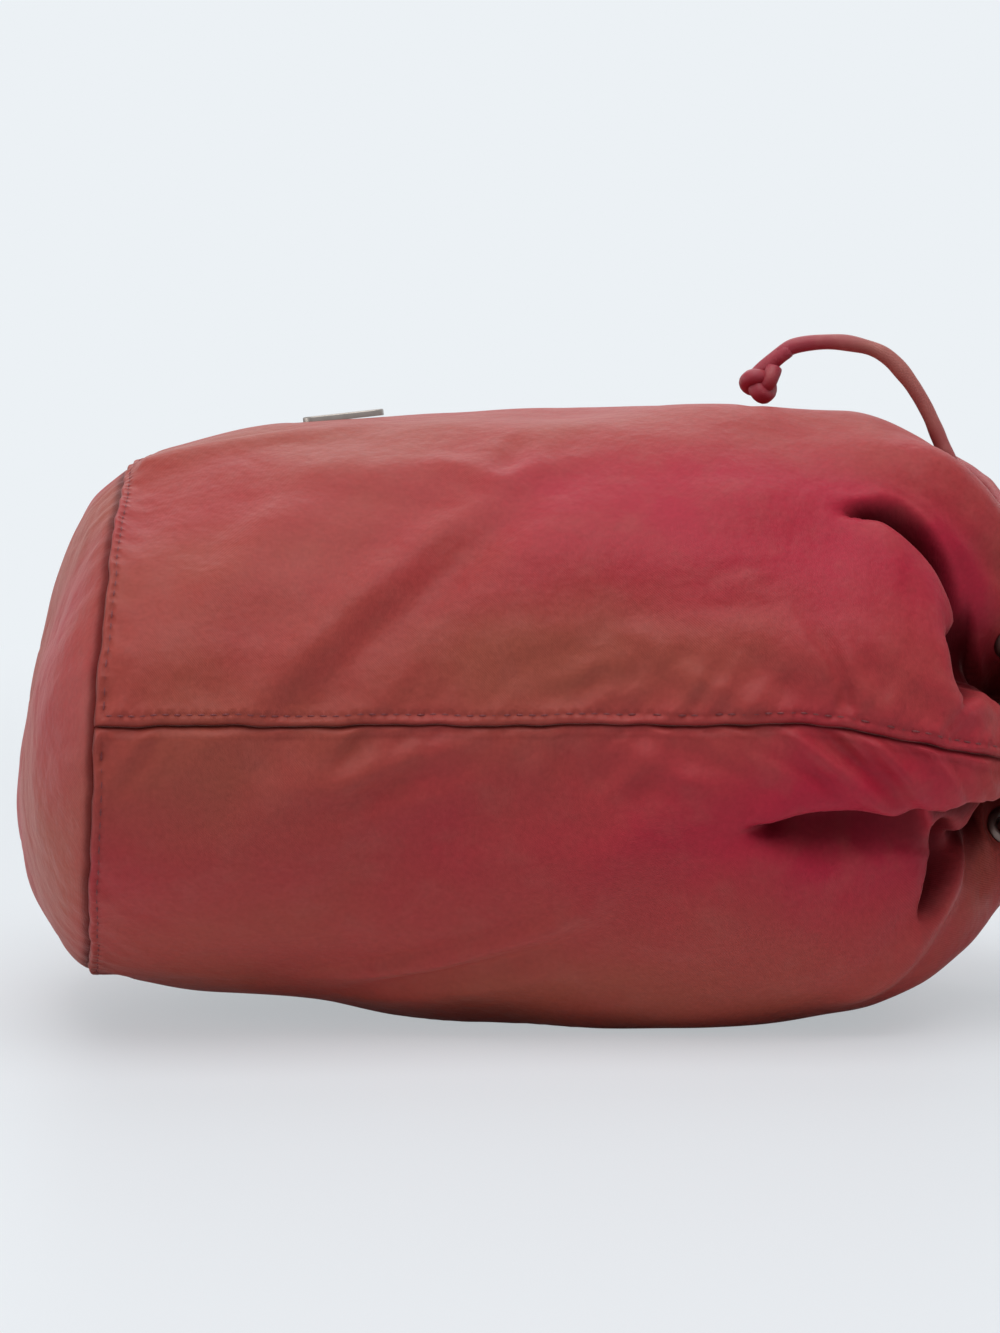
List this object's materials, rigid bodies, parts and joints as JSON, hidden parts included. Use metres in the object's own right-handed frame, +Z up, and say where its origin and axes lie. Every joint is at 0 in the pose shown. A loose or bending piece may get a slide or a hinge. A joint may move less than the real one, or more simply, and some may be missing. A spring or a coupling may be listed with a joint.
{
  "type": "kinchaku drawstring pouch",
  "caption": "Soft cloth pouch with an oval base, filled and lying on its side, its pleated mouth drawn in by a round drawstring through metal eyelets, and a plain plate on the front.",
  "frame": {"origin": "on the surface it lies on, under the middle of the pouch without its free cord ends", "axes": "+X from the base to the gathered mouth, +Z up as it lies, near side seam at -Y"},
  "size_m": [0.252, 0.1726, 0.155],
  "materials": {
    "front_cloth": "shot nylon twill, rust red to crimson, soft sheen",
    "back_cloth": "shot nylon twill, plum brown, soft sheen",
    "base_cloth": "shot nylon twill, rose brown, soft sheen",
    "cord_cloth": "round cord covered in the pouch's cloth",
    "eyelet_metal": "dull dark nickel",
    "plate_metal": "plain satin nickel, bare of any mark"
  },
  "bodies": {
    "root": {"front_panel": "front_cloth", "back_panel": "back_cloth", "base_panel": "base_cloth", "front_plate": "plate_metal", "plate_backing": "plate_metal", "drawstring_neck": "cord_cloth", "drawstring_end_near": "cord_cloth", "drawstring_end_far": "cord_cloth", "knot_near": "cord_cloth", "knot_far": "cord_cloth", "eyelet_01": "eyelet_metal", "eyelet_02": "eyelet_metal", "eyelet_03": "eyelet_metal", "eyelet_04": "eyelet_metal", "eyelet_05": "eyelet_metal", "eyelet_06": "eyelet_metal", "eyelet_07": "eyelet_metal", "eyelet_08": "eyelet_metal", "eyelet_09": "eyelet_metal", "eyelet_10": "eyelet_metal", "eyelet_11": "eyelet_metal", "eyelet_12": "eyelet_metal", "eyelet_washer_01": "eyelet_metal", "eyelet_washer_02": "eyelet_metal", "eyelet_washer_03": "eyelet_metal", "eyelet_washer_04": "eyelet_metal", "eyelet_washer_05": "eyelet_metal", "eyelet_washer_06": "eyelet_metal", "eyelet_washer_07": "eyelet_metal", "eyelet_washer_08": "eyelet_metal", "eyelet_washer_09": "eyelet_metal", "eyelet_washer_10": "eyelet_metal", "eyelet_washer_11": "eyelet_metal", "eyelet_washer_12": "eyelet_metal"}
  },
  "joints": []
}
